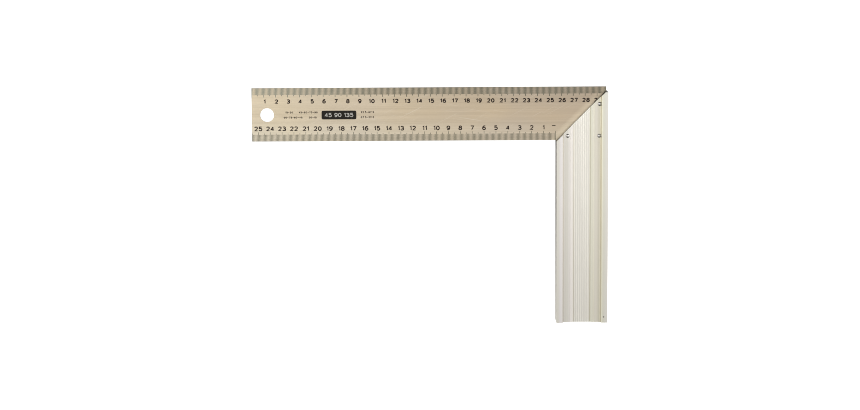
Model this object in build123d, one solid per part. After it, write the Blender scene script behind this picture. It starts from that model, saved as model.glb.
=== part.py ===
"""Carpenter's try and mitre square, lying flat.

A graduated steel blade runs along X.  Its outer end is a tang that sits in a saw kerf in a fluted
aluminium stock, which runs towards -Y, and three rivets hold the two together.  The stock's inner end
is cut at 45 degrees.  Lengths are in millimetres.  The origin is at the middle of the overall box, at
the level of the stock's underside, and +Z points up through the thickness.
"""
import os
from math import radians, tan

from build123d import *

# ------------------------------------------------------------------ driving dimensions
# Blade
blade_length = 298.0        # free end to the tang's end, just short of the stock's outer face
blade_width = 45.0
blade_thickness = 1.2
blade_edge_break = 0.12     # small bevel along the blade's edges
hanging_hole_diameter = 11.6
hanging_hole_inset = 12.9   # free end to the hole's centre
hanging_hole_drop = 22.7    # outer edge to the hole's centre

# Stock
square_height = 199.7       # blade's outer edge to the stock's foot
reach = 255.85              # blade's free end to the stock's inner face
stock_width = 43.3
stock_thickness = 20.0
mitre_angle = 45.0
mitre_drop = 0.2            # mitre's lower end and the kerf's floor below the blade's inner edge
tip_drop = 4.2              # blade's outer edge to the stock's blunted tip
kerf_side_gap = 0.05        # between the blade and each wall of the kerf

# Section of the stock, measured from a side face towards the middle and down from the rims
rim_edge_radius = 0.25
rim_end = 3.3
shoulder_end = 5.3
shoulder_drop = 0.15
groove_start = 6.4
groove_end = 11.5
groove_depth = 3.8
groove_hollow = 0.2         # how far the groove's floor dips at its middle
bead_end = 12.4
bead_rise = 0.2             # how far the bead beside the groove stands above its floor
slope_end = 14.25
gutter_middle = 14.7
gutter_depth = 0.4          # below the panel
panel_depth = 4.8
flute_count = 7
flute_pitch = 1.857
flute_hollow = 0.25

# Rivets
rivet_places = {            # node name: (from the stock's inner face, below the blade's outer edge)
    "rivet_outer_upper": (36.15, 14.3),
    "rivet_outer_lower": (35.85, 41.0),
    "rivet_inner_lower": (9.5, 41.0),
}
shank_diameter = 2.2
head_diameter = 3.2
head_dome = 0.75            # the dome's rise above its edge
recess_depth = 0.35         # below the groove's nominal floor; the head's straight edge fills it

# Pip left by the anodising rack on the outer rim, near the foot, on the upper side
pip_diameter = 1.0
pip_depth = 0.5
pip_from_inner_face = 40.05
pip_above_foot = 5.0

# ------------------------------------------------------------------ places in the part's frame
overall_length = reach + stock_width
x_free_end = -overall_length / 2
x_inner_face = x_free_end + reach
x_outer_face = overall_length / 2
y_outer_edge = square_height / 2
y_inner_edge = y_outer_edge - blade_width
y_foot = -square_height / 2
z_middle = stock_thickness / 2

half_width = stock_width / 2
half_thickness = stock_thickness / 2
groove_level = half_thickness - groove_depth
panel_level = half_thickness - panel_depth
seat_level = groove_level - recess_depth


# ------------------------------------------------------------------ blade
def make_blade():
    """Flat plate with a hanging hole and three rivet holes."""
    plate = Box(blade_length, blade_width, blade_thickness, align=(Align.MIN, Align.MAX, Align.CENTER))
    plate = Pos(x_free_end, y_outer_edge, z_middle) * plate
    plate = chamfer(plate.edges(), blade_edge_break)
    hole_place = Pos(x_free_end + hanging_hole_inset, y_outer_edge - hanging_hole_drop, z_middle)
    plate -= hole_place * Cylinder(hanging_hole_diameter / 2, 2 * blade_thickness)
    for place in rivet_places.values():
        plate -= rivet_axis(place) * Cylinder(shank_diameter / 2, 2 * blade_thickness)
    return plate


def rivet_axis(place):
    """Location of a rivet's middle, on the blade's mid-plane."""
    from_inner_face, below_outer_edge = place
    return Pos(x_inner_face + from_inner_face, y_outer_edge - below_outer_edge, z_middle)


# ------------------------------------------------------------------ stock
def side_outline():
    """Upper outline of the section from the middle of the inner side face to the first flute.

    The first coordinate runs across the stock from its centre line, the second through its thickness.
    """
    side, top = -half_width, half_thickness
    corner = rim_edge_radius
    first_flute = -flute_count * flute_pitch / 2
    return [
        Line((side, 0), (side, top - corner)),
        RadiusArc((side, top - corner), (side + corner, top), corner),
        Line((side + corner, top), (side + rim_end, top)),
        Line((side + rim_end, top), (side + shoulder_end, top - shoulder_drop)),
        Line((side + shoulder_end, top - shoulder_drop), (side + groove_start, groove_level)),
        ThreePointArc(
            (side + groove_start, groove_level),
            (side + (groove_start + groove_end) / 2, groove_level - groove_hollow),
            (side + groove_end, groove_level),
        ),
        ThreePointArc(
            (side + groove_end, groove_level),
            (side + (groove_end + bead_end) / 2, groove_level + bead_rise),
            (side + bead_end, groove_level),
        ),
        Line((side + bead_end, groove_level), (side + slope_end, panel_level)),
        Line((side + slope_end, panel_level), (side + gutter_middle, panel_level - gutter_depth)),
        Line((side + gutter_middle, panel_level - gutter_depth), (first_flute, panel_level)),
    ]


def flute(number):
    """Hollow arc of one flute, counted from the inner side."""
    start = (number - flute_count / 2) * flute_pitch
    middle, end = start + flute_pitch / 2, start + flute_pitch
    return ThreePointArc((start, panel_level), (middle, panel_level - flute_hollow), (end, panel_level))


def make_section():
    """Closed section of the extruded bar, the same on both faces and both sides."""
    side = side_outline()
    flutes = [flute(number) for number in range(flute_count)]
    upper = side + flutes + [edge.mirror(Plane.YZ) for edge in side]
    outline = upper + [edge.mirror(Plane.XZ) for edge in upper]
    return make_face(Wire(outline))


def make_stock():
    """Extruded bar with a mitred, blunted end, a kerf for the blade and recessed rivet holes."""
    x_middle = (x_inner_face + x_outer_face) / 2
    top_of_bar = Plane(origin=(x_middle, y_outer_edge, z_middle), x_dir=(1, 0, 0), z_dir=(0, -1, 0))
    bar = extrude(top_of_bar * make_section(), square_height)

    y_corner = y_inner_edge - mitre_drop
    y_tip = y_outer_edge - tip_drop
    x_tip = x_inner_face + (y_tip - y_corner) / tan(radians(mitre_angle))
    outline = Polyline(
        (x_inner_face, y_foot),
        (x_outer_face, y_foot),
        (x_outer_face, y_tip),
        (x_tip, y_tip),
        (x_inner_face, y_corner),
        close=True,
    )
    stock = bar & extrude(make_face(outline), stock_thickness)

    kerf_width = blade_thickness + 2 * kerf_side_gap
    kerf_depth = y_outer_edge - y_corner
    kerf = Box(2 * stock_width, kerf_depth, kerf_width, align=(Align.CENTER, Align.MIN, Align.CENTER))
    stock -= Pos(x_middle, y_corner, z_middle) * kerf

    for place in rivet_places.values():
        stock -= rivet_axis(place) * Cylinder(shank_diameter / 2, 2 * stock_thickness)
        recess = Cylinder(head_diameter / 2, half_thickness, align=(Align.CENTER, Align.CENTER, Align.MIN))
        for facing in (1, -1):
            level = seat_level if facing == 1 else -seat_level - half_thickness
            stock -= rivet_axis(place) * Pos(0, 0, level) * recess

    pip = Cone(0, pip_diameter / 2, pip_depth, align=(Align.CENTER, Align.CENTER, Align.MAX))
    stock -= Pos(x_inner_face + pip_from_inner_face, y_foot + pip_above_foot, stock_thickness) * pip
    return stock


# ------------------------------------------------------------------ rivets
def make_rivet(place):
    """Solid rivet with a low domed head at each end, each seated in a recess of the stock."""
    radius, shank = head_diameter / 2, shank_diameter / 2
    dome_level = groove_level + head_dome
    dome = RadiusArc((0, dome_level), (radius, groove_level), (radius**2 + head_dome**2) / (2 * head_dome))
    upper = [
        dome,
        Line((radius, groove_level), (radius, seat_level)),
        Line((radius, seat_level), (shank, seat_level)),
        Line((shank, seat_level), (shank, 0)),
    ]
    outline = upper + [edge.mirror(Plane.XZ) for edge in upper]
    outline.append(Line((0, -dome_level), (0, dome_level)))
    half_section = Plane.XZ * make_face(Wire(outline))
    return rivet_axis(place) * revolve(half_section, Axis.Z)


# ------------------------------------------------------------------ files
parts = {"blade": make_blade(), "stock": make_stock()}
for name, place in rivet_places.items():
    parts[name] = make_rivet(place)

os.makedirs("parts", exist_ok=True)
for name, shape in parts.items():
    export_step(shape, f"parts/{name}.step")
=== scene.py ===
"""Looks of a carpenter's try and mitre square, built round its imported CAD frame.

The square lies flat: the blade runs along X, the stock towards -Y, and +Z is up.  Sizes are in millimetres
where a name ends in _mm, and in metres otherwise.
"""
import math

import bmesh
import bpy
from mathutils import Euler, Matrix, Vector


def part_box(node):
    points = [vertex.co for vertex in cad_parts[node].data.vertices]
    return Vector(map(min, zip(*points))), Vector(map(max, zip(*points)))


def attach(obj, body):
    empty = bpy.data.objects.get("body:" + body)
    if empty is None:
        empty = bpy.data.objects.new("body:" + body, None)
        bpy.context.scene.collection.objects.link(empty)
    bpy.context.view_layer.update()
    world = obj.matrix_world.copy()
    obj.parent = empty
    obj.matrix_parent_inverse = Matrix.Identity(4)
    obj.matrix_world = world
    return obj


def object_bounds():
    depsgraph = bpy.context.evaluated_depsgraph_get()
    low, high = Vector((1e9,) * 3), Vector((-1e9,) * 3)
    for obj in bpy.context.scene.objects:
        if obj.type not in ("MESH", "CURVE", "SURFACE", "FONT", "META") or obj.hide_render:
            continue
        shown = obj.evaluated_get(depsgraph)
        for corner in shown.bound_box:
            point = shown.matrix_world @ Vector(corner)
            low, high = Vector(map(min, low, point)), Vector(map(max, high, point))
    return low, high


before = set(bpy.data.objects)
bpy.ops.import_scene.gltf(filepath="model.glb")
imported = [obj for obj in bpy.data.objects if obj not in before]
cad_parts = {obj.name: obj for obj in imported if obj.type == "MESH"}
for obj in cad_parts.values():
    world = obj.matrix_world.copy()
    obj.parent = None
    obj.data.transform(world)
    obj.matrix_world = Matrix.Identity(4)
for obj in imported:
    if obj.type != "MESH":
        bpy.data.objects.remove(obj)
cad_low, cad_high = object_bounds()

MM = 0.001
SCENE = bpy.context.scene
SCENE.view_settings.view_transform = "Standard"
SCENE.cycles.filter_width = 1.0     # the millimetre lines are hardly more than a pixel apart

# ------------------------------------------------------------------ places, from the frame
blade_low, blade_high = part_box("blade")
stock_low, stock_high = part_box("stock")
x_free_end = blade_low.x
x_inner_face = stock_low.x
y_outer_edge = blade_high.y
y_inner_edge = blade_low.y
z_blade_top = blade_high.z
z_middle = (stock_low.z + stock_high.z) / 2
x_stock_middle = (stock_low.x + stock_high.x) / 2
x_outer_face = stock_high.x
y_foot = stock_low.y

# ------------------------------------------------------------------ markings
INK_PROUD_MM = 0.012          # how far the ink stands above the steel
INK_ROOT_MM = 0.02            # how far it reaches into the steel
EDGE_GAP_MM = 0.13            # the blade's bevelled edge, which carries no ink
z_ink_root = z_blade_top - INK_ROOT_MM * MM
z_ink_top = z_blade_top + INK_PROUD_MM * MM

OUTER_ZERO_MM = 0.25          # the outer scale's zero stands this far inside the free end
INNER_ZERO_MM = 0.55          # and the inner scale's this far before the stock
x_outer_zero = x_free_end + OUTER_ZERO_MM * MM
x_inner_zero = x_inner_face - INNER_ZERO_MM * MM
OUTER_SCALE_END_MM = 297
INNER_SCALE_END_MM = 255
TICK_LENGTHS_MM = {10: 7.8, 5: 6.8, 1: 5.8}
OUTER_TICK_WIDTHS_MM = (0.45, 0.55)   # at the zero, and past the worn part
INNER_TICK_WIDTHS_MM = (0.36, 0.36)
WORN_MM = 105                 # the outer lines are thinner and paler up to here from the zero

FIGURE_PROPORTION = 0.8       # a figure's width over its height
FIGURE_GAP = 0.11             # the space between figures over their height
OUTER_FIGURE_HEIGHT_MM = 3.75
OUTER_FIGURE_STROKE_MM = 0.92
INNER_FIGURE_HEIGHT_MM = 4.0
INNER_FIGURE_STROKE_MM = 0.87
OUTER_FIGURE_DROP_MM = 11.3   # outer edge to the middle of its figures
OUTER_FIGURE_SHIFT_MM = 0.7   # the outer figures stand this far past their lines
INNER_FIGURE_RISE_MM = 10.7   # inner edge to the middle of its figures

# A short line near the mitre points at the inner scale's zero
ZERO_MARK_HEIGHT_MM = 4.6     # its cell's, which also sets its length
ZERO_MARK_STROKE_MM = 0.62
ZERO_MARK_BACK_MM = 1.4       # from the zero towards the free end
ZERO_MARK_DROP_MM = 32.8

# Badge: a plain plate with the angles that the square sets out.  Drops are from the outer edge
BADGE_FROM_ZERO_MM = 73.1     # the outer scale's zero to the badge's middle
BADGE_DROP_MM = 22.9
BADGE_SIZE_MM = (29.3, 7.4)
BADGE_CORNER_MM = 1.3
BADGE_TEXT = "45 90 135"
BADGE_FIGURE_HEIGHT_MM = 3.5
BADGE_STROKE_MM = 0.6

# Small rows of angles on both sides of the badge, read forwards above and backwards below
SMALL_ROWS = {                # drop in mm: labels, and the middle of each from the outer scale's zero
    20.6: (("15-30", 31.2), ("45-60-75-90", 47.2), ("22.5-67.5", 97.0)),
    24.9: (("90-75-60-45", 34.5), ("30-15", 51.0), ("67.5-22.5", 97.0)),
}
SMALL_HEIGHT_MM = 1.6
SMALL_STROKE_MM = 0.42

# ------------------------------------------------------------------ stock's shape
MITRE_NORMAL = (-(0.5**0.5), 0.5**0.5, 0.0)
MITRE_DROP_MM = 0.2           # blade's inner edge to where the mitre leaves the inner face
CREST_MM = 5.2                # the flutes' crests, from the middle of the thickness
FLUTE_HOLLOW_MM = 0.25
PANEL_HALF_WIDTH_MM = 9.4     # with the slopes on both sides
HOLLOW_SHADE = -0.1         # painted shade: change of colour in the flutes' hollows
FOOT_SHADE_MM = 110            # painted shade: the stock grows brighter from its foot up to here
FOOT_SHADE_LEVELS = (0.925, 1.033)     # its painted shade level at the foot, and from there on

TIP_SHADE_START_MM = 22           # painted shade: the mitre darkens towards its tip, from this far below the outer edge
TIP_SHADE_FULL_MM = 8             # and is darkest from here on
PIP_FROM_INNER_FACE_MM = 40.05
PIP_ABOVE_FOOT_MM = 5.0
PIP_SHADE_MM = 0.4            # radius of the painted shade in and round the pip's hollow
PIP_SHADE_FADE_MM = 0.2

# ------------------------------------------------------------------ finishes
INNER_REFLECTION_MM = (20, 9)       # from the inner edge: a painted reflection starts to turn the steel lighter and greyer, and is strongest
INNER_REFLECTION = (1.07, 1.12, 1.19, 1.0)
OUTER_PAINTED_SHADE_MM = (18, 6)      # from the outer edge: painted shade starts to darken the steel, most of all next to the stock
OUTER_PAINTED_SHADE = (0.86, 0.87, 0.9, 1.0)
MITRE_GLOW_MM = (1.0, 5.5)    # from the mitre: the steel is brightest up to here, and the glow ends
MITRE_GLOW = (1.32, 1.37, 1.37, 1.0)
INK_SPECULAR = 0.15
SCRATCH_TURNS_DEG = (9.0, -27.0)
SCRATCH_STRENGTH = 0.3
SCRATCH_COLOUR = (0.86, 0.8, 0.7, 1.0)
END_SHADE_TILTS = (0.3, 0.6)    # tilt of a rivet's head along the stock: the painted shade starts, and is full
END_SHADE_COLOUR = (0.06, 0.055, 0.05, 1.0)
STRIPE_TINTS_AND_SHADING = {                     # millimetres from the stock's inner face: tint of the anodising there, partly painted light and shade of the slopes and walls
    1.5: (1.0, 0.96, 0.86),
    3.2: (1.09, 1.04, 1.0),
    4.6: (1.13, 1.08, 1.03),
    6.0: (0.93, 0.89, 0.81),
    9.0: (0.97, 0.93, 0.83),
    11.4: (1.05, 1.0, 0.93),
    12.2: (0.98, 0.93, 0.87),
    13.9: (0.86, 0.82, 0.76),
    14.5: (1.16, 1.12, 1.01),
    15.5: (1.06, 1.02, 0.92),
    27.6: (1.1, 1.06, 0.95),
    28.8: (1.03, 1.0, 0.84),
    29.6: (1.12, 1.09, 0.91),
    30.8: (1.09, 1.05, 0.88),
    32.5: (0.98, 0.93, 0.8),
    34.0: (1.03, 0.97, 0.83),
    36.2: (0.87, 0.82, 0.66),
    37.2: (1.18, 1.13, 0.95),
    38.2: (1.16, 1.13, 0.93),
    39.3: (0.98, 0.95, 0.8),
    42.0: (1.02, 0.99, 0.9),
}
STRIPE_SPAN = 1.25              # the strongest of them

# ------------------------------------------------------------------ camera
CAMERA_PLACE = (0.006975, 0.24195, 1.8543)
CAMERA_TURN_DEG = (-7.47, 0.178, -0.325)
CAMERA_LENS = 92.1

# ------------------------------------------------------------------ light
TENT_LEVEL = 0.16             # from every direction
OVERHEAD_LEVEL = 0.71
OVERHEAD_FALLOFF = 4
SIDE_LEVEL = 1.03
SIDE_LEAN = 0.3               # how much stronger the light is from the stock's end of the blade
SOFTBOX_SIDE = 1.2
SOFTBOXES = {                 # place and power in watts
    "softbox_left": ((-0.6, 0.7, 1.3), 8.0),
    "softbox_right": ((1.2, 0.7, 1.3), 8.6),
}
FLOOR_RADIUS = 25.0
FLOOR_GLOW = 1.0
FLOOR_ALBEDO = 0.35
FLOOR_ALBEDO_AT_FOOT = 0.95   # of the floor that lights the object, past the stock's foot; towards the blade it is darker, a painted shadow


def make_camera():
    data = bpy.data.cameras.new("camera")
    data.lens = CAMERA_LENS
    data.sensor_width = 36.0
    data.clip_start, data.clip_end = 0.05, 50.0
    camera = bpy.data.objects.new("camera", data)
    camera.location = CAMERA_PLACE
    camera.rotation_euler = Euler([math.radians(turn) for turn in CAMERA_TURN_DEG], "XYZ")
    SCENE.collection.objects.link(camera)
    SCENE.camera = camera


# ------------------------------------------------------------------ node helpers
def new_material(name):
    """A material with only its output and its shader; returns (material, tree, shader)."""
    material = bpy.data.materials.new(name)
    material.use_nodes = True
    tree = material.node_tree
    return material, tree, tree.nodes["Principled BSDF"]


def add_node(tree, kind, inputs=None, **settings):
    """Adds a node, sets its properties, and fills its sockets with values or with links."""
    node = tree.nodes.new("ShaderNode" + kind)
    for key, value in settings.items():
        setattr(node, key, value)
    for key, value in (inputs or {}).items():
        if isinstance(value, bpy.types.NodeSocket):
            tree.links.new(value, node.inputs[key])
        else:
            node.inputs[key].default_value = value
    return node


def object_point(tree):
    return add_node(tree, "TexCoord").outputs["Object"]


def stretched_noise(tree, point, per_metre, detail=2.0, roughness=0.55):
    """Noise whose grain repeats about this many times a metre along each axis."""
    scaled = add_node(tree, "VectorMath", {0: point, 1: per_metre}, operation="MULTIPLY")
    inputs = {"Vector": scaled.outputs[0], "Scale": 1.0, "Detail": detail, "Roughness": roughness}
    return add_node(tree, "TexNoise", inputs).outputs["Fac"]


def remap(tree, value, source, target):
    """Maps a value linearly from one range to another, and clamps it there."""
    limits = {"From Min": source[0], "From Max": source[1], "To Min": target[0], "To Max": target[1]}
    return add_node(tree, "MapRange", {"Value": value, **limits}).outputs["Result"]


def maths(tree, operation, first, second=0.0):
    return add_node(tree, "Math", {0: first, 1: second}, operation=operation).outputs[0]


def mix_colour(tree, factor, first, second, blend="MIX"):
    node = add_node(tree, "Mix", data_type="RGBA", blend_type=blend)
    for index, value in ((0, factor), (6, first), (7, second)):
        if isinstance(value, bpy.types.NodeSocket):
            tree.links.new(value, node.inputs[index])
        else:
            node.inputs[index].default_value = value
    return node.outputs[2]


def bump(tree, height, distance_mm, strength):
    inputs = {"Height": height, "Distance": distance_mm * MM, "Strength": strength}
    return add_node(tree, "Bump", inputs).outputs[0]


# ------------------------------------------------------------------ materials
def steel_material():
    """Stainless steel, brushed along the blade, with a warm cast, and with painted shade and reflections
    on it.
    """
    material, tree, shader = new_material("brushed_steel")
    point = object_point(tree)
    fine = stretched_noise(tree, point, (18, 5200, 5200), detail=3.0)
    bands = stretched_noise(tree, point, (5, 420, 420), detail=2.0)
    tone = stretched_noise(tree, point, (16, 34, 34), detail=2.0)
    grain = maths(tree, "ADD", maths(tree, "MULTIPLY", fine, 0.6), maths(tree, "MULTIPLY", bands, 0.4))
    dull, clear = (0.53, 0.445, 0.335, 1.0), (0.71, 0.602, 0.46, 1.0)
    colour = mix_colour(tree, remap(tree, grain, (0.32, 0.68), (0.0, 1.0)), dull, clear)
    warm, cool = (1.02, 0.995, 0.95, 1.0), (0.995, 0.99, 1.0, 1.0)
    tint = mix_colour(tree, remap(tree, tone, (0.35, 0.65), (0.0, 1.0)), warm, cool)
    colour = mix_colour(tree, 1.0, colour, tint, blend="MULTIPLY")
    place = add_node(tree, "SeparateXYZ", {0: point}).outputs
    # Partly the steel's own tint, partly painted shade and reflection: straw at the free end, a darker
    # rose next to the stock
    drift = remap(tree, place["X"], (x_free_end, x_inner_face), (0.0, 1.0))
    straw, rose = (1.055, 1.08, 1.05, 1.0), (0.915, 0.885, 0.845, 1.0)
    colour = mix_colour(tree, 1.0, colour, mix_colour(tree, drift, straw, rose), blend="MULTIPLY")
    # painted shade and painted reflection towards both edges of the blade
    colour = edge_casts(tree, place["Y"], drift, colour)
    colour = mitre_glow(tree, point, colour)
    scratches = scratch_lines(tree, point)
    colour = mix_colour(tree, maths(tree, "MULTIPLY", scratches, SCRATCH_STRENGTH), colour, SCRATCH_COLOUR)
    tree.links.new(colour, shader.inputs["Base Color"])

    # Handling leaves faint smudges, which only change how sharply the steel reflects
    smudges = remap(tree, stretched_noise(tree, point, (22, 30, 30), detail=3.0), (0.5, 0.7), (0.0, 0.06))
    roughness = maths(tree, "ADD", remap(tree, grain, (0.3, 0.7), (0.42, 0.3)), smudges)
    tree.links.new(roughness, shader.inputs["Roughness"])
    tree.links.new(bump(tree, fine, 0.01, 0.35), shader.inputs["Normal"])
    shader.inputs["Metallic"].default_value = 1.0
    return material


def edge_casts(tree, along_y, drift, colour):
    """Painted reflection greys and lightens the steel towards its inner edge; painted shade darkens it
    towards the outer one near the stock.
    """
    # painted reflection along the inner edge
    reflection_from, reflection_to = (y_inner_edge + distance * MM for distance in INNER_REFLECTION_MM)
    reflection = remap(tree, along_y, (reflection_from, reflection_to), (0.0, 1.0))
    colour = mix_colour(tree, reflection, colour, INNER_REFLECTION, blend="MULTIPLY")
    # painted shade along the outer edge, growing towards the stock
    shade_from, shade_to = (y_outer_edge - distance * MM for distance in OUTER_PAINTED_SHADE_MM)
    shade = maths(tree, "MULTIPLY", remap(tree, along_y, (shade_from, shade_to), (0.0, 1.0)), drift)
    return mix_colour(tree, shade, colour, OUTER_PAINTED_SHADE, blend="MULTIPLY")


def mitre_glow(tree, point, colour):
    """Brightens the steel next to the mitre, where the stock throws light onto it."""
    mitre_foot = Vector((x_inner_face, y_inner_edge - MITRE_DROP_MM * MM, 0.0))
    mitre = mitre_foot.dot(Vector(MITRE_NORMAL))
    place = add_node(tree, "VectorMath", {0: point, 1: MITRE_NORMAL}, operation="DOT_PRODUCT")
    near, far = (mitre + distance * MM for distance in MITRE_GLOW_MM)
    glow = remap(tree, place.outputs["Value"], (near, far), (1.0, 0.0))
    return mix_colour(tree, glow, colour, MITRE_GLOW, blend="MULTIPLY")


def scratch_lines(tree, point):
    """Sparse hairline scratches in two slanting directions, from 0 to 1."""
    lines = 0.0
    for turn in SCRATCH_TURNS_DEG:
        turned = add_node(tree, "VectorRotate", {"Vector": point, "Angle": math.radians(turn)})
        grain = stretched_noise(tree, turned.outputs[0], (28, 2400, 28), detail=1.0)
        lines = maths(tree, "MAXIMUM", remap(tree, grain, (0.7, 0.74), (0.0, 1.0)), lines)
    return lines


def cast_across(tree, along_x):
    """The anodising's tint from stripe to stripe of the extrusion, partly painted light and shade of the
    slopes and walls.
    """
    width = x_outer_face - x_inner_face
    ramp = add_node(tree, "ValToRGB", {0: remap(tree, along_x, (x_inner_face, x_outer_face), (0.0, 1.0))})
    elements = ramp.color_ramp.elements
    elements.remove(elements[1])
    for index, (from_inner_face_mm, tone) in enumerate(STRIPE_TINTS_AND_SHADING.items()):
        element = elements.new(from_inner_face_mm * MM / width) if index else elements[0]
        element.position = from_inner_face_mm * MM / width
        element.color = (*(part / STRIPE_SPAN for part in tone), 1.0)
    span = (STRIPE_SPAN, STRIPE_SPAN, STRIPE_SPAN, 1.0)
    return mix_colour(tree, 1.0, ramp.outputs["Color"], span, blend="MULTIPLY")


def anodising_shade(tree, place):
    """Painted shade from place to place: darker in the panel's hollows, and towards the foot."""
    across = maths(tree, "ABSOLUTE", maths(tree, "SUBTRACT", place["X"], x_stock_middle))
    height = maths(tree, "ABSOLUTE", maths(tree, "SUBTRACT", place["Z"], z_middle))
    hollow_to_crest = ((CREST_MM - FLUTE_HOLLOW_MM) * MM, CREST_MM * MM)
    hollow_darkening = remap(tree, height, hollow_to_crest, (HOLLOW_SHADE, 0.0))
    in_panel = maths(tree, "LESS_THAN", across, PANEL_HALF_WIDTH_MM * MM)
    shade = maths(tree, "ADD", maths(tree, "MULTIPLY", hollow_darkening, in_panel), 1.0)
    above_foot = remap(tree, place["Y"], (y_foot, y_foot + FOOT_SHADE_MM * MM), FOOT_SHADE_LEVELS)
    shade = maths(tree, "MULTIPLY", shade, above_foot)
    return add_node(tree, "CombineXYZ", {0: shade, 1: shade, 2: shade}).outputs[0]


def sawn_ends(tree, point, place):
    """Where the bar is sawn, from 0 to 1, and its colour there: painted shade on the mitre, clean on the
    foot.
    """
    normal = add_node(tree, "NewGeometry").outputs["Normal"]
    mitre = add_node(tree, "VectorMath", {0: normal, 1: MITRE_NORMAL}, operation="DOT_PRODUCT")
    end = add_node(tree, "SeparateXYZ", {0: normal}).outputs["Y"]
    facing = maths(tree, "MAXIMUM", mitre.outputs["Value"], maths(tree, "ABSOLUTE", end))
    teeth = stretched_noise(tree, point, (500, 500, 2600), detail=3.0)
    tooth = remap(tree, teeth, (0.3, 0.7), (0.0, 1.0))
    # painted shade on the mitre, darker than the clean sawn foot
    shaded_mitre = mix_colour(tree, tooth, (0.1, 0.095, 0.085, 1.0), (0.28, 0.27, 0.24, 1.0))
    # painted shade deepening towards the mitre's tip
    darkening = (y_outer_edge - TIP_SHADE_START_MM * MM, y_outer_edge - TIP_SHADE_FULL_MM * MM)
    near_tip = remap(tree, place["Y"], darkening, (0.0, 1.0))
    shaded_mitre = mix_colour(tree, near_tip, shaded_mitre, (0.04, 0.037, 0.033, 1.0))
    clean = mix_colour(tree, tooth, (0.42, 0.41, 0.38, 1.0), (0.62, 0.61, 0.58, 1.0))
    bare = mix_colour(tree, remap(tree, end, (-0.97, -0.9), (1.0, 0.0)), shaded_mitre, clean)
    return remap(tree, facing, (0.9, 0.97), (0.0, 1.0)), bare


def pip_stain(tree, point):
    """Painted shade in and round the pip's small hollow, from 0 to 1."""
    pip = (x_inner_face + PIP_FROM_INNER_FACE_MM * MM, y_foot + PIP_ABOVE_FOOT_MM * MM, stock_high.z)
    distance = add_node(tree, "VectorMath", {0: point, 1: pip}, operation="DISTANCE").outputs["Value"]
    fading = (PIP_SHADE_MM * MM, (PIP_SHADE_MM + PIP_SHADE_FADE_MM) * MM)
    return remap(tree, distance, fading, (1.0, 0.0))


def aluminium_material():
    """Satin anodised extrusion, with die lines along the bar and two sawn ends."""
    material, tree, shader = new_material("anodised_extrusion")
    point = object_point(tree)
    place = add_node(tree, "SeparateXYZ", {0: point}).outputs
    lines = stretched_noise(tree, point, (4200, 0.03, 4200), detail=3.0)
    level = remap(tree, lines, (0.3, 0.7), (0.0, 1.0))
    colour = mix_colour(tree, level, (0.72, 0.72, 0.72, 1.0), (0.82, 0.82, 0.82, 1.0))
    # stripe tints, partly painted light and shade of the section's slopes and walls
    colour = mix_colour(tree, 1.0, colour, cast_across(tree, place["X"]), blend="MULTIPLY")
    # painted shade in the panel's hollows and towards the foot
    colour = mix_colour(tree, 1.0, colour, anodising_shade(tree, place), blend="MULTIPLY")
    sawn, bare = sawn_ends(tree, point, place)
    colour = mix_colour(tree, sawn, colour, bare)
    # painted shade at the pip
    colour = mix_colour(tree, pip_stain(tree, point), colour, (0.04, 0.036, 0.03, 1.0))
    tree.links.new(colour, shader.inputs["Base Color"])

    roughness = remap(tree, lines, (0.3, 0.7), (0.42, 0.33))
    roughness = maths(tree, "ADD", roughness, maths(tree, "MULTIPLY", sawn, 0.15))
    tree.links.new(roughness, shader.inputs["Roughness"])
    tree.links.new(bump(tree, lines, 0.01, 0.3), shader.inputs["Normal"])
    shader.inputs["Metallic"].default_value = 1.0
    return material


def rivet_material():
    """Peened aluminium: small hammer facets, and painted shade on the sides that face along the stock."""
    material, tree, shader = new_material("peened_aluminium")
    point = object_point(tree)
    facets = stretched_noise(tree, point, (900, 900, 900), detail=2.0)
    level = remap(tree, facets, (0.35, 0.65), (0.0, 1.0))
    colour = mix_colour(tree, level, (0.5, 0.485, 0.46, 1.0), (0.64, 0.62, 0.59, 1.0))
    # painted shade on the head's sides that face along the stock
    normal = add_node(tree, "NewGeometry").outputs["Normal"]
    along = maths(tree, "ABSOLUTE", add_node(tree, "SeparateXYZ", {0: normal}).outputs["Y"])
    colour = mix_colour(tree, remap(tree, along, END_SHADE_TILTS, (0.0, 1.0)), colour, END_SHADE_COLOUR)
    tree.links.new(colour, shader.inputs["Base Color"])
    tree.links.new(remap(tree, facets, (0.35, 0.65), (0.4, 0.28)), shader.inputs["Roughness"])
    tree.links.new(bump(tree, facets, 0.05, 0.25), shader.inputs["Normal"])
    shader.inputs["Metallic"].default_value = 1.0
    return material


def ink_material(name, low, high, worn=None):
    """Etched and filled marking: matt, with a fine uneven grain.

    Where a worn colour is given, the ink turns to it towards the blade's free end.
    """
    material, tree, shader = new_material(name)
    point = object_point(tree)
    grain = stretched_noise(tree, point, (900, 5200, 900), detail=2.0)
    colour = mix_colour(tree, remap(tree, grain, (0.3, 0.7), (0.0, 1.0)), low, high)
    if worn:
        along = add_node(tree, "SeparateXYZ", {0: point}).outputs["X"]
        wear = remap(tree, along, (x_outer_zero, x_outer_zero + WORN_MM * MM), (1.0, 0.0))
        colour = mix_colour(tree, wear, colour, worn)
    tree.links.new(colour, shader.inputs["Base Color"])
    tree.links.new(remap(tree, grain, (0.3, 0.7), (0.62, 0.45)), shader.inputs["Roughness"])
    shader.inputs["Specular IOR Level"].default_value = INK_SPECULAR
    return material


# ------------------------------------------------------------------ pieces
def add_piece(name, mesh, material):
    """Links a finished mesh as a piece of the object, in the row frame."""
    mesh.materials.clear()
    mesh.materials.append(material)
    piece = bpy.data.objects.new(name, mesh)
    SCENE.collection.objects.link(piece)
    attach(piece, "root")
    return piece


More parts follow.
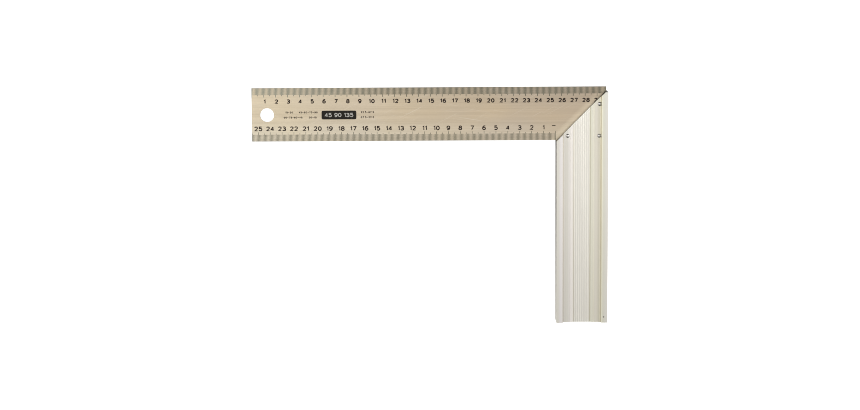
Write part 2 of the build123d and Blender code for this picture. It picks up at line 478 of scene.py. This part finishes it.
def add_block(build, low, high):
    """Adds a closed box between two corners to a bmesh."""
    size, middle = high - low, (low + high) / 2
    place = Matrix.Translation(middle) @ Matrix.Diagonal((*size, 1.0))
    bmesh.ops.create_cube(build, size=1.0, matrix=place)


def graduations(name, x_zero, direction, y_edge, inward, last_mm, widths_mm, material):
    """One line per millimetre from an edge of the blade; every fifth and tenth is longer."""
    build = bmesh.new()
    width_at_zero, full_width = widths_mm
    for count in range(last_mm + 1):
        width = width_at_zero + (full_width - width_at_zero) * min(1.0, count / WORN_MM)
        half = width * MM / 2
        step = next(size for size in TICK_LENGTHS_MM if count % size == 0)
        x = x_zero + direction * count * MM
        near, far = (y_edge + inward * reach * MM for reach in (EDGE_GAP_MM, TICK_LENGTHS_MM[step]))
        x_low = max(x - half, x_free_end + EDGE_GAP_MM * MM)
        low = Vector((x_low, min(near, far), z_ink_root))
        high = Vector((x + half, max(near, far), z_ink_top))
        add_block(build, low, high)
    mesh = bpy.data.meshes.new(name)
    build.to_mesh(mesh)
    build.free()
    return add_piece(name, mesh, material)


def arc(centre_x, centre_y, radius_x, radius_y, start, end, steps_per_turn=40):
    """Points along part of an ellipse, its angles in degrees."""
    steps = max(2, round(abs(end - start) / 360 * steps_per_turn))
    angles = [math.radians(start + (end - start) * step / steps) for step in range(steps + 1)]
    return [(centre_x + radius_x * math.cos(a), centre_y + radius_y * math.sin(a)) for a in angles]


def loop(centre_x, centre_y, radius_x, radius_y):
    return arc(centre_x, centre_y, radius_x, radius_y, 0, 360)[:-1], True


SIX = [loop(0.5, 0.31, 0.5, 0.31), (arc(0.62, 0.36, 0.62, 0.64, 180, 58), False)]
# Centre lines of the strokes of each figure, in a cell one wide and one high: (points, closed)
STROKES = {
    "0": [loop(0.5, 0.5, 0.5, 0.5)],
    "1": [([(0.0, 0.76), (0.4, 1.0), (0.4, 0.0)], False)],
    "2": [(arc(0.5, 0.72, 0.48, 0.28, 165, -38) + [(0.02, 0.0), (1.0, 0.0)], False)],
    "3": [
        (arc(0.47, 0.76, 0.45, 0.24, 155, -90), False),
        ([(0.3, 0.52)] + arc(0.47, 0.26, 0.53, 0.26, 90, -155), False),
    ],
    "4": [([(0.74, 0.0), (0.74, 1.0)], False), ([(0.74, 1.0), (0.0, 0.27), (1.0, 0.27)], False)],
    "5": [([(0.92, 1.0), (0.14, 1.0)] + arc(0.48, 0.33, 0.52, 0.33, 138, -150), False)],
    "6": SIX,
    "7": [([(0.0, 1.0), (1.0, 1.0), (0.36, 0.0)], False)],
    "8": [loop(0.5, 0.27, 0.5, 0.27), loop(0.5, 0.77, 0.42, 0.23)],
    "9": [([(1 - x, 1 - y) for x, y in points], closed) for points, closed in SIX],
    ".": [([(0.0, 0.0), (0.0, 0.04)], False)],
    "-": [([(0.0, 0.5), (1.0, 0.5)], False)],
}
FIGURE_WIDTHS = {"1": 0.4, ".": 0.0, " ": 0.35}   # of the cell; the others fill it


def add_ribbon(build, points, closed, half_width, z_low, z_high):
    """Adds a closed solid that follows a line of points at a constant width, with mitred corners."""
    count = len(points)
    rings = []
    for index, point in enumerate(points):
        before = points[index - 1] if index or closed else None
        after = points[(index + 1) % count] if index < count - 1 or closed else None
        leaving = (after - point).normalized() if after is not None else (point - before).normalized()
        arriving = (point - before).normalized() if before is not None else leaving
        along = (arriving + leaving).normalized()
        across = Vector((-along.y, along.x)) * half_width / max(along.dot(leaving), 0.6)
        left, right = point - across, point + across
        corners = ((left, z_low), (right, z_low), (right, z_high), (left, z_high))
        rings.append([build.verts.new((place.x, place.y, z)) for place, z in corners])
    spans = zip(rings, rings[1:] + rings[:1]) if closed else zip(rings, rings[1:])
    for ring, following in spans:
        for side in range(4):
            other = (side + 1) % 4
            build.faces.new((ring[side], ring[other], following[other], following[side]))
    if not closed:
        build.faces.new(rings[0][::-1])
        build.faces.new(rings[-1])


def joined(solids):
    """One mesh that is the union of some overlapping solids."""
    holders = [bpy.data.objects.new("solid", mesh) for mesh in solids]
    for holder in holders:
        SCENE.collection.objects.link(holder)
    for other in holders[1:]:
        union = holders[0].modifiers.new("union", "BOOLEAN")
        union.operation, union.solver, union.object = "UNION", "EXACT", other
    bpy.context.view_layer.update()
    evaluated = holders[0].evaluated_get(bpy.context.evaluated_depsgraph_get())
    mesh = bpy.data.meshes.new_from_object(evaluated)
    for holder in holders:
        bpy.data.objects.remove(holder)
    return mesh


FIGURE_CACHE = {}


def figure_mesh(character, width_mm, height_mm, stroke_mm, z_low, z_high):
    """Closed mesh of one figure, with its lower left corner at the origin."""
    key = (character, width_mm, height_mm, stroke_mm, z_low, z_high)
    if key not in FIGURE_CACHE:
        inner = Vector((width_mm - stroke_mm, height_mm - stroke_mm)) * MM
        half = stroke_mm * MM / 2
        solids = []
        for points, closed in STROKES[character]:
            build = bmesh.new()
            line = [Vector((x * inner.x + half, y * inner.y + half)) for x, y in points]
            add_ribbon(build, line, closed, half, z_low, z_high)
            bmesh.ops.recalc_face_normals(build, faces=build.faces)
            mesh = bpy.data.meshes.new("stroke")
            build.to_mesh(mesh)
            build.free()
            solids.append(mesh)
        FIGURE_CACHE[key] = joined(solids)
    return FIGURE_CACHE[key]


def figures(name, labels, height_mm, stroke_mm, material, z_low=z_ink_root, z_high=z_ink_top):
    """A piece made of several labels, each (text, x, y), centred on their points."""
    cell = height_mm * FIGURE_PROPORTION - stroke_mm
    gap = height_mm * FIGURE_GAP + stroke_mm
    build = bmesh.new()
    for text, x, y in labels:
        widths = [cell * FIGURE_WIDTHS.get(character, 1.0) for character in text]
        start = -(sum(widths) + gap * (len(text) - 1) + stroke_mm) / 2
        for character, width in zip(text, widths):
            if character != " ":
                mesh = figure_mesh(character, cell + stroke_mm, height_mm, stroke_mm, z_low, z_high).copy()
                mesh.transform(Matrix.Translation((x + start * MM, y - height_mm * MM / 2, 0.0)))
                build.from_mesh(mesh)
                bpy.data.meshes.remove(mesh)
            start += width + gap
    mesh = bpy.data.meshes.new(name)
    build.to_mesh(mesh)
    build.free()
    return add_piece(name, mesh, material)


def rounded_plate(name, centre, width_mm, height_mm, corner_mm, z_low, z_high, material, steps=8):
    """Closed flat plate with round corners."""
    build = bmesh.new()
    ring = []
    for quarter, (sx, sy) in enumerate(((1, 1), (-1, 1), (-1, -1), (1, -1))):
        cx = centre[0] + sx * (width_mm / 2 - corner_mm) * MM
        cy = centre[1] + sy * (height_mm / 2 - corner_mm) * MM
        for step in range(steps + 1):
            angle = math.pi / 2 * (quarter + step / steps)
            x = cx + corner_mm * MM * math.cos(angle)
            y = cy + corner_mm * MM * math.sin(angle)
            ring.append(build.verts.new((x, y, z_low)))
    face = build.faces.new(ring)
    raised = bmesh.ops.extrude_face_region(build, geom=[face])["geom"]
    for item in raised:
        if isinstance(item, bmesh.types.BMVert):
            item.co.z = z_high
    bmesh.ops.recalc_face_normals(build, faces=build.faces)
    mesh = bpy.data.meshes.new(name)
    build.to_mesh(mesh)
    build.free()
    return add_piece(name, mesh, material)


# ------------------------------------------------------------------ stage
def make_floor(name, depth_mm, glow):
    """A large pale disc just below the stock's underside."""
    build = bmesh.new()
    bmesh.ops.create_circle(build, cap_ends=True, radius=FLOOR_RADIUS, segments=64)
    mesh = bpy.data.meshes.new(name)
    build.to_mesh(mesh)
    build.free()
    material, tree, shader = new_material(name)
    # painted shadow: the floor is darker towards the blade and brighter past the stock's foot
    towards_foot = add_node(tree, "SeparateXYZ", {0: object_point(tree)}).outputs["Y"]
    albedo = remap(tree, towards_foot, (cad_low.y, 0.0), (FLOOR_ALBEDO_AT_FOOT, FLOOR_ALBEDO))
    tree.links.new(albedo, shader.inputs["Base Color"])
    shader.inputs["Roughness"].default_value = 0.9
    shader.inputs["Specular IOR Level"].default_value = 0.0
    shader.inputs["Emission Color"].default_value = (1.0, 1.0, 1.0, 1.0)
    shader.inputs["Emission Strength"].default_value = glow
    mesh.materials.append(material)
    floor = bpy.data.objects.new(name, mesh)
    floor.location.z = cad_low.z - depth_mm * MM
    SCENE.collection.objects.link(floor)
    return floor


def make_floors():
    """The floor in view glows, so that it stays white; the one under it shades and lights the object."""
    seen = make_floor("floor_in_view", 0.1, FLOOR_GLOW)
    seen.visible_diffuse = seen.visible_glossy = seen.visible_shadow = False
    shading = make_floor("floor_that_lights", 0.2, 0.0)
    shading.visible_camera = False


def make_world():
    """A light tent: bright overhead and at both ends of the blade, dim in front and behind."""
    world = bpy.data.worlds.new("light_tent")
    world.use_nodes = True
    SCENE.world = world
    tree = world.node_tree
    direction = add_node(tree, "TexCoord").outputs["Generated"]
    split = add_node(tree, "SeparateXYZ", {0: direction}).outputs
    overhead = maths(tree, "POWER", maths(tree, "MAXIMUM", split["Z"], 0.0), OVERHEAD_FALLOFF)
    sides = maths(tree, "MULTIPLY", split["X"], split["X"])
    side_level = maths(tree, "ADD", maths(tree, "MULTIPLY", split["X"], SIDE_LEAN), SIDE_LEVEL)
    level = maths(tree, "ADD", maths(tree, "MULTIPLY", overhead, OVERHEAD_LEVEL), TENT_LEVEL)
    level = maths(tree, "ADD", level, maths(tree, "MULTIPLY", sides, side_level))
    background = tree.nodes["Background"]
    background.inputs["Color"].default_value = (1.0, 1.0, 1.0, 1.0)
    tree.links.new(level, background.inputs["Strength"])


def add_softbox(name, place, power):
    """A square area light that faces the middle of the square."""
    data = bpy.data.lights.new(name, "AREA")
    data.shape = "SQUARE"
    data.size = SOFTBOX_SIDE
    data.energy = power
    light = bpy.data.objects.new(name, data)
    light.location = place
    light.rotation_euler = Vector(place).to_track_quat("Z", "Y").to_euler()
    SCENE.collection.objects.link(light)


# ------------------------------------------------------------------ assembly
def dress_cad():
    """Gives the CAD solids their materials."""
    looks = {"blade": steel_material(), "stock": aluminium_material(), "rivet": rivet_material()}
    for node_name, node_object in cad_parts.items():
        look = looks["rivet" if node_name.startswith("rivet") else node_name]
        for material_slot in node_object.material_slots:
            material_slot.material = look


def make_scales():
    """Millimetre lines and centimetre figures along both long edges of the blade."""
    ink_range = (0.085, 0.085, 0.06, 1.0), (0.135, 0.135, 0.1, 1.0)
    outer_ink = ink_material("outer_scale_ink", *ink_range, worn=(0.18, 0.21, 0.18, 1.0))
    inner_ink = ink_material("inner_scale_ink", (0.035, 0.04, 0.028, 1.0), (0.075, 0.08, 0.055, 1.0))
    outer = (x_outer_zero, 1, y_outer_edge, -1, OUTER_SCALE_END_MM, OUTER_TICK_WIDTHS_MM, outer_ink)
    inner = (x_inner_zero, -1, y_inner_edge, 1, INNER_SCALE_END_MM, INNER_TICK_WIDTHS_MM, inner_ink)
    graduations("outer_graduations", *outer)
    graduations("inner_graduations", *inner)


def make_figures(ink):
    """The figures of both scales and the mark at the inner zero."""
    y = y_outer_edge - OUTER_FIGURE_DROP_MM * MM
    places = {count: x_outer_zero + (10 * count + OUTER_FIGURE_SHIFT_MM) * MM for count in range(1, 30)}
    labels = [(str(count), x, y) for count, x in places.items()]
    figures("outer_figures", labels, OUTER_FIGURE_HEIGHT_MM, OUTER_FIGURE_STROKE_MM, ink)

    y = y_inner_edge + INNER_FIGURE_RISE_MM * MM
    labels = [(str(count), x_inner_zero - 10 * count * MM, y) for count in range(1, 26)]
    figures("inner_figures", labels, INNER_FIGURE_HEIGHT_MM, INNER_FIGURE_STROKE_MM, ink)

    zero = ("-", x_inner_zero - ZERO_MARK_BACK_MM * MM, y_outer_edge - ZERO_MARK_DROP_MM * MM)
    figures("zero_mark", [zero], ZERO_MARK_HEIGHT_MM, ZERO_MARK_STROKE_MM, ink)


def make_badge():
    """A dark plate with light figures, just proud of it."""
    plate_ink = ink_material("badge_ink", (0.008, 0.006, 0.004, 1.0), (0.02, 0.016, 0.011, 1.0))
    light_ink = ink_material("badge_light", (0.4, 0.385, 0.35, 1.0), (0.52, 0.5, 0.46, 1.0))
    centre = (x_outer_zero + BADGE_FROM_ZERO_MM * MM, y_outer_edge - BADGE_DROP_MM * MM)
    rounded_plate("badge_plate", centre, *BADGE_SIZE_MM, BADGE_CORNER_MM, z_ink_root, z_ink_top, plate_ink)
    size = (BADGE_FIGURE_HEIGHT_MM, BADGE_STROKE_MM)
    heights = (z_blade_top, z_ink_top + INK_PROUD_MM * MM)
    figures("badge_figures", [(BADGE_TEXT, *centre)], *size, light_ink, *heights)


def make_small_rows(ink):
    labels = [
        (text, x_outer_zero + from_zero * MM, y_outer_edge - drop * MM)
        for drop, row in SMALL_ROWS.items()
        for text, from_zero in row
    ]
    figures("small_figures", labels, SMALL_HEIGHT_MM, SMALL_STROKE_MM, ink)


make_camera()
make_world()
make_floors()
for name, (place, power) in SOFTBOXES.items():
    add_softbox(name, place, power)

dress_cad()
make_scales()
figure_ink = ink_material("figure_ink", (0.014, 0.008, 0.005, 1.0), (0.03, 0.019, 0.013, 1.0))
make_figures(figure_ink)
make_badge()
make_small_rows(figure_ink)
